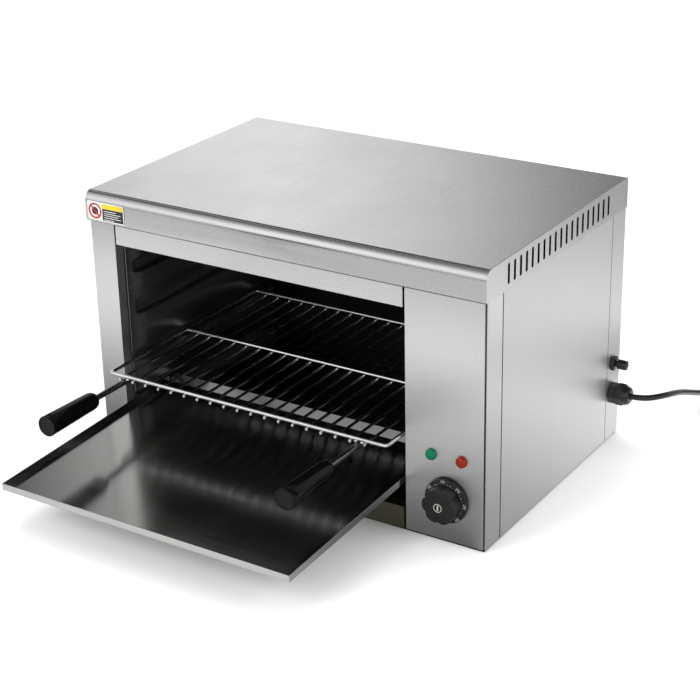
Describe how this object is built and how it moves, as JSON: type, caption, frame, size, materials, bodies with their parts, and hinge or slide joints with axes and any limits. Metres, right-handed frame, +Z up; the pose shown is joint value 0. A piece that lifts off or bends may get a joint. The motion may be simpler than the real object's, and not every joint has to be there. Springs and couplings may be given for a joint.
{
  "type": "countertop salamander grill",
  "caption": "Open-front countertop electric grill in sheet steel with a ventilated top cover, pull-out wire rack with two grips, pull-out drip tray, control knob and lamps",
  "frame": {"origin": "middle of the casing's underside, on the surface it stands on", "axes": "+X to the right as seen from the front, -Y towards the user out of the open front, +Z up"},
  "size_m": [0.6047, 0.7081, 0.28],
  "materials": {
    "steel": "fine brushed stainless sheet, satin",
    "panel_steel": "vertically brushed stainless sheet",
    "chamber_steel": "dark heat-tinted brushed steel",
    "tray_steel": "polished steel, near mirror",
    "chrome_wire": "bright chromed wire",
    "rod_steel": "plain drawn steel",
    "hardware_steel": "bright zinc-plated steel",
    "element_sheath": "dark oxidised tubular sheath",
    "knob_black": "dark moulded phenolic",
    "knob_mark": "pale printed centre cap",
    "gloss_black": "glossy black moulded plastic",
    "nylon_black": "black moulded nylon",
    "green_lens": "moulded green lens",
    "red_lens": "moulded red-orange lens",
    "ceramic": "pale ceramic and phenolic",
    "copper": "plain copper",
    "cord_black": "smooth black PVC sheath",
    "plug_black": "moulded black plug with bright pins",
    "wire_brown": "brown insulation",
    "wire_blue": "blue insulation",
    "label": "pale plate with plain marks"
  },
  "bodies": {
    "root": {"base_pan": "steel", "chamber_back_wall": "chamber_steel", "chamber_ceiling": "chamber_steel", "chamber_floor": "chamber_steel", "chamber_left_wall": "chamber_steel", "chamber_right_wall": "chamber_steel", "control_panel": "panel_steel", "cord_coil": "cord_black", "cord_end": "cord_black", "crossbar": "steel", "element_flange_front": "hardware_steel", "element_flange_rear": "hardware_steel", "element_hanger_front": "hardware_steel", "element_hanger_rear": "hardware_steel", "front_label": "label", "front_rail": "steel", "gland_body": "nylon_black", "gland_dome_nut": "nylon_black", "gland_locknut": "nylon_black", "green_lamp_body": "nylon_black", "green_lamp_lens": "green_lens", "heating_element_front": "element_sheath", "heating_element_rear": "element_sheath", "left_post": "steel", "left_side_panel": "steel", "power_cord": "cord_black", "power_plug": "plug_black", "rear_panel": "steel", "rear_screw_1": "hardware_steel", "rear_screw_2": "hardware_steel", "rear_screw_3": "hardware_steel", "rear_screw_4": "hardware_steel", "red_lamp_body": "nylon_black", "red_lamp_lens": "red_lens", "reset_cutout_body": "ceramic", "reset_nut": "nylon_black", "right_post": "steel", "right_side_panel": "steel", "supply_lead_inner": "cord_black", "terminal_block": "ceramic", "thermostat_body": "ceramic", "thermostat_bulb": "copper", "thermostat_capillary": "copper", "top_cover": "steel", "wire_live": "wire_brown", "wire_neutral": "wire_blue"},
    "rack": {"wire_rack": "chrome_wire", "left_handle_rod": "rod_steel", "right_handle_rod": "rod_steel", "left_grip": "gloss_black", "right_grip": "gloss_black", "left_grip_cap": "gloss_black", "right_grip_cap": "gloss_black"},
    "drip_tray": {"drip_tray": "tray_steel"},
    "control_knob": {"knob_shaft": "hardware_steel", "knob_skirt": "knob_black", "knob_grip": "knob_black", "knob_cap": "knob_mark"},
    "reset_button": {"reset_button": "nylon_black"}
  },
  "joints": [
    {"name": "rack_slide", "type": "slide", "parent": "root", "child": "rack", "axis": [0, -1, 0], "range_m": [-0.028, 0.15]},
    {"name": "tray_slide", "type": "slide", "parent": "root", "child": "drip_tray", "axis": [0, -1, 0], "range_m": [-0.186, 0.03]},
    {"name": "knob_turn", "type": "hinge", "parent": "root", "child": "control_knob", "pos_m": [0.1845, -0.1455, 0.045], "axis": [0, 1, 0], "range_deg": [0, 270]},
    {"name": "reset_press", "type": "slide", "parent": "root", "child": "reset_button", "axis": [-1, 0, 0], "range_m": [0, 0.002], "stiffness_N_per_m": 400}
  ]
}
